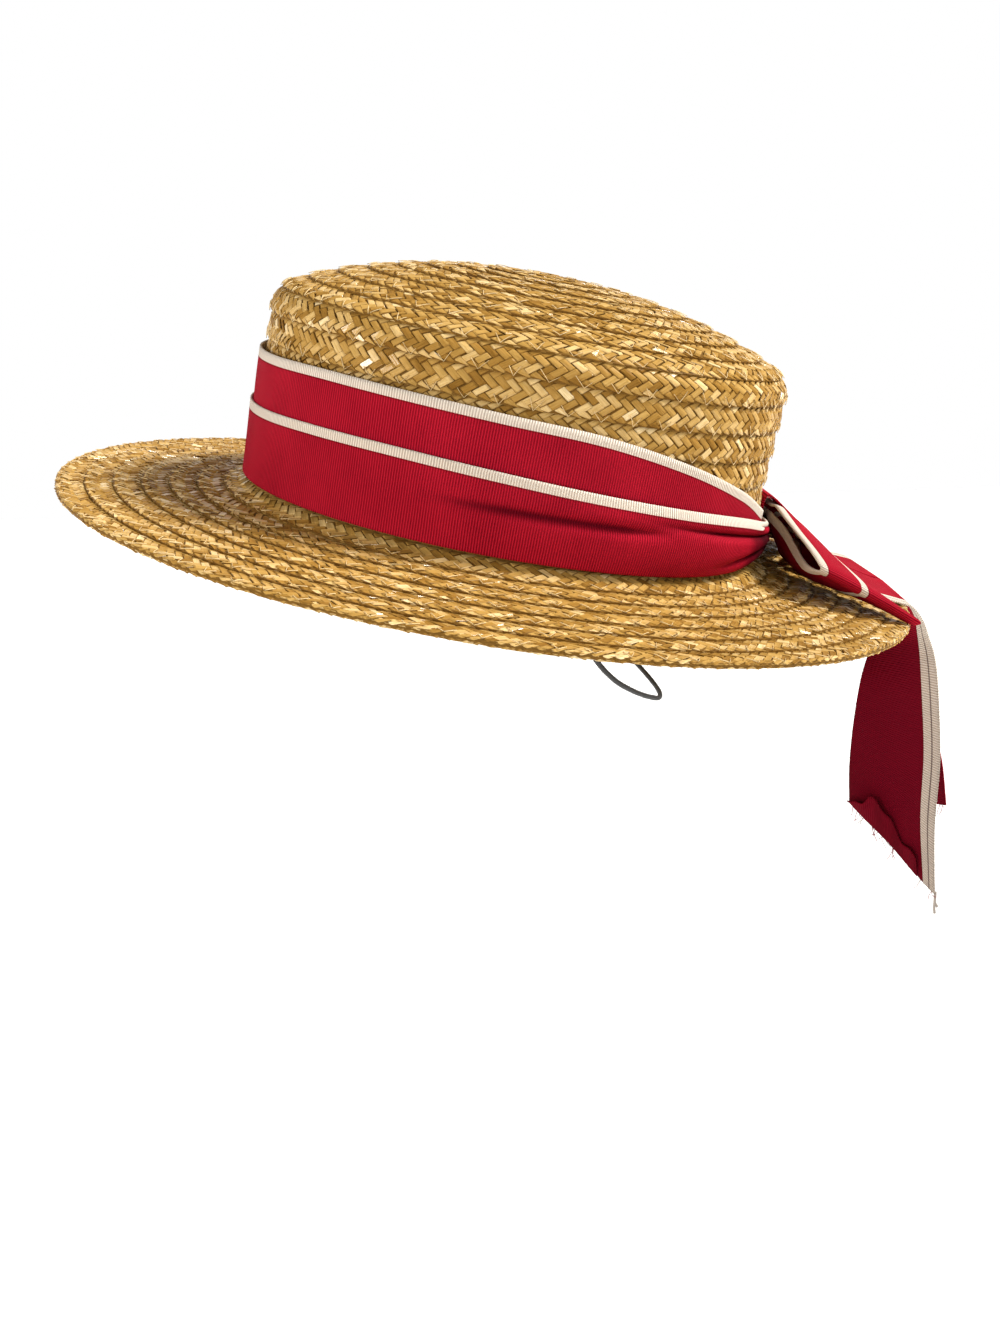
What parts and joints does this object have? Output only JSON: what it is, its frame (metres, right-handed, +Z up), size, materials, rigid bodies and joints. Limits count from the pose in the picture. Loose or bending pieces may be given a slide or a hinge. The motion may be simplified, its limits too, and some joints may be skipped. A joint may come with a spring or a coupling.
{
  "type": "straw boater hat",
  "caption": "Straw boater hat of sewn plait rows with a low domed crown, flat oval brim, two tier ribbon band, back bow with two hanging tails and a thin elastic.",
  "frame": {"origin": "middle of the head opening, at the foot of the crown, where a head holds the hat", "axes": "+Z up, +Y towards the back of the hat where the bow is, +X towards the wearer's left; the hat leans back by 11 degrees about X"},
  "size_m": [0.3048, 0.3722, 0.262],
  "materials": {
    "straw": "varnished golden straw plait",
    "ribbon": "ribbed red grosgrain with cream edge stripes",
    "elastic": "black covered round elastic"
  },
  "bodies": {
    "root": {"crown": "straw", "brim": "straw", "band_upper": "ribbon", "band_lower": "ribbon", "bow_knot": "ribbon", "bow_loop_left": "ribbon", "bow_loop_right": "ribbon", "tail_left": "ribbon", "tail_right": "ribbon", "chin_elastic": "elastic"}
  },
  "joints": []
}
